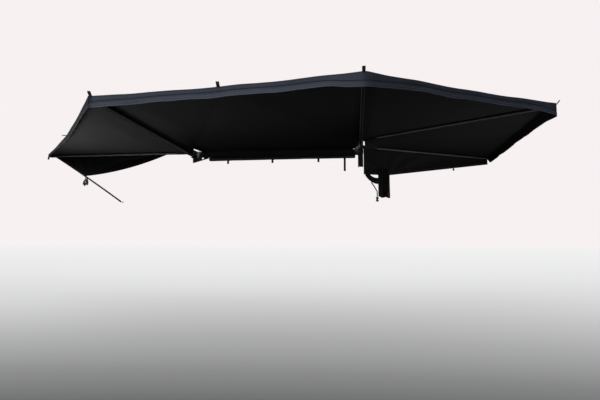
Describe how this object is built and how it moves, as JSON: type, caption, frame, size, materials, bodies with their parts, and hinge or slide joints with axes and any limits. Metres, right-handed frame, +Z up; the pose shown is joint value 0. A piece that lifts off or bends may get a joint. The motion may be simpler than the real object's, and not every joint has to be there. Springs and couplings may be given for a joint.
{
  "type": "vehicle side awning",
  "caption": "Free-standing vehicle side awning: level arms fan out from two stacked hubs on a backing beam and carry a canopy with end flaps, valance, guy strap and rolled travel cover",
  "frame": {"origin": "centre of the flat land on the back face of the backing beam, midway between the two hubs", "axes": "+X runs along the beam towards the rear of the vehicle, +Y points from the awning into the vehicle, +Z is up"},
  "size_m": [5.8758, 2.8558, 0.7843],
  "materials": {
    "powder_coat": "black satin powder coat",
    "anodised_beam": "black anodised extrusion",
    "dark_steel": "black zinc plate",
    "black_plastic": "moulded black nylon",
    "canvas": "coated black canvas",
    "vinyl": "black coated cover cloth, rolled up",
    "webbing": "black woven webbing"
  },
  "bodies": {
    "frame": {"backing_beam": "anodised_beam", "beam_end_cap_front": "black_plastic", "beam_end_cap_rear": "black_plastic", "front_hub_bracket": "powder_coat", "rear_hub_bracket": "powder_coat", "front_pivot_pin": "dark_steel", "front_pivot_nut": "dark_steel", "rear_pivot_pin": "dark_steel", "rear_pivot_nut": "dark_steel", "front_hub_washer_1": "black_plastic", "rear_hub_washer_1": "black_plastic", "rear_hub_washer_2": "black_plastic", "rack_bracket_front": "powder_coat", "rack_bracket_rear": "powder_coat", "cover_roll": "vinyl", "cover_strap_1": "webbing", "cover_strap_2": "webbing", "cover_strap_3": "webbing", "cover_strap_4": "webbing", "canopy_centre": "canvas"},
    "arm_1": {"arm_1_knuckle": "powder_coat", "arm_1_tube": "powder_coat", "arm_1_tip": "black_plastic", "canopy_arm_1": "canvas", "front_flap": "canvas", "front_corner_tab": "webbing", "side_hem_tab": "webbing", "guy_strap": "webbing", "guy_hook": "dark_steel", "guy_tensioner": "black_plastic"},
    "arm_2": {"arm_2_knuckle": "powder_coat", "arm_2_tube": "powder_coat", "arm_2_tip": "black_plastic", "canopy_arm_2": "canvas", "outer_front_tab": "webbing", "long_hem_tab": "webbing"},
    "arm_3": {"arm_3_knuckle": "powder_coat", "arm_3_tube": "powder_coat", "arm_3_tip": "black_plastic", "canopy_arm_3": "canvas", "outer_rear_tab": "webbing"},
    "arm_4": {"arm_4_knuckle": "powder_coat", "arm_4_tube": "powder_coat", "arm_4_tip": "black_plastic", "canopy_arm_4": "canvas", "rear_side_tab": "webbing"},
    "arm_5": {"arm_5_knuckle": "powder_coat", "arm_5_tube": "powder_coat", "arm_5_tip": "black_plastic", "canopy_arm_5": "canvas", "rear_flap": "canvas", "rear_flap_tail": "canvas", "rear_flap_swag": "canvas", "flap_tail_buckle_1": "black_plastic", "flap_tail_buckle_2": "black_plastic", "rear_tie_strap": "webbing", "rear_corner_tab": "webbing", "rear_flap_tab": "webbing"}
  },
  "joints": [
    {"name": "arm_3_swing", "type": "hinge", "parent": "frame", "child": "arm_3", "pos_m": [1.0365, -0.075, 0.1], "axis": [0, 0, 1], "range_deg": [-87.2, 0], "deforming": ["canopy_arm_3", "canopy_centre"]},
    {"name": "arm_4_swing", "type": "hinge", "parent": "arm_3", "child": "arm_4", "pos_m": [1.0365, -0.075, 0.14], "axis": [0, 0, 1], "range_deg": [-60.1, 0], "deforming": ["canopy_arm_4"]},
    {"name": "arm_5_swing", "type": "hinge", "parent": "arm_4", "child": "arm_5", "pos_m": [1.0365, -0.075, 0.06], "axis": [0, 0, 1], "range_deg": [-57.5, 0], "deforming": ["canopy_arm_5", "rear_flap", "rear_flap_tail", "rear_flap_swag", "rear_flap_tab"]},
    {"name": "arm_2_swing", "type": "hinge", "parent": "frame", "child": "arm_2", "pos_m": [-1.0365, -0.075, -0.014], "axis": [0, 0, 1], "range_deg": [0, 91.2], "deforming": ["canopy_arm_2", "long_hem_tab"]},
    {"name": "arm_1_swing", "type": "hinge", "parent": "arm_2", "child": "arm_1", "pos_m": [-1.0365, -0.075, 0.024], "axis": [0, 0, 1], "range_deg": [0, 88.7], "deforming": ["canopy_arm_1", "front_flap", "side_hem_tab"]}
  ],
  "couplings": [
    {"joint": "arm_4_swing", "follows": "arm_3_swing", "ratio": 0.6892},
    {"joint": "arm_5_swing", "follows": "arm_3_swing", "ratio": 0.6594},
    {"joint": "arm_2_swing", "follows": "arm_3_swing", "ratio": -1.0458},
    {"joint": "arm_1_swing", "follows": "arm_3_swing", "ratio": -1.0172}
  ]
}
